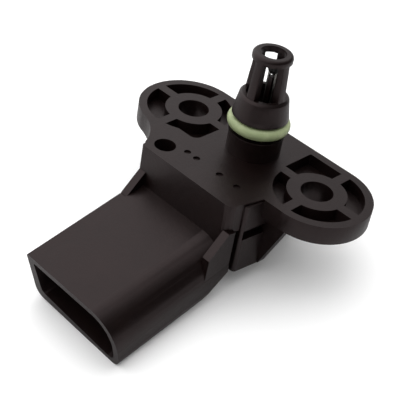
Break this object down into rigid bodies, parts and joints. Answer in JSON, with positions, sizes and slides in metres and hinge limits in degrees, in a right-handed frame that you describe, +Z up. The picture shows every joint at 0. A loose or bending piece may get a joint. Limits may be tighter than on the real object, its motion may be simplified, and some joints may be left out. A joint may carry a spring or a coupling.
{
  "type": "manifold absolute pressure sensor",
  "caption": "Black moulded manifold pressure and temperature sensor with a slotted nozzle, green sealing ring, two bolt ears and a slanted connector.",
  "frame": {"origin": "on the nozzle's axis, in the flange face that meets the manifold", "axes": "+Z up the nozzle, +X along the line of the two fixing holes, -Y towards the connector"},
  "size_m": [0.06, 0.059, 0.0501],
  "materials": {
    "housing_plastic": "satin",
    "ring_rubber": "satin",
    "sealant": "satin",
    "board_laminate": "satin",
    "case_plastic": "matte",
    "pedestal_glass": "gloss",
    "chip_silicon": "gloss",
    "wire_gold": "satin",
    "gel_silicone": "gloss",
    "capacitor_ceramic": "satin",
    "bead_coating": "gloss",
    "lead_tinned": "satin",
    "terminal_tinned": "satin"
  },
  "bodies": {
    "root": {"housing": "housing_plastic", "o_ring": "ring_rubber", "back_cover": "housing_plastic", "cover_seal": "sealant", "circuit_board": "board_laminate", "cell_case": "case_plastic", "glass_pedestal": "pedestal_glass", "pressure_chip": "chip_silicon", "bond_wires": "wire_gold", "protective_gel": "gel_silicone", "capacitor_1": "capacitor_ceramic", "capacitor_2": "capacitor_ceramic", "capacitor_3": "capacitor_ceramic", "thermistor": "bead_coating", "thermistor_lead_1": "lead_tinned", "thermistor_lead_2": "lead_tinned", "terminal_1": "terminal_tinned", "terminal_2": "terminal_tinned", "terminal_3": "terminal_tinned", "terminal_4": "terminal_tinned"}
  },
  "joints": []
}
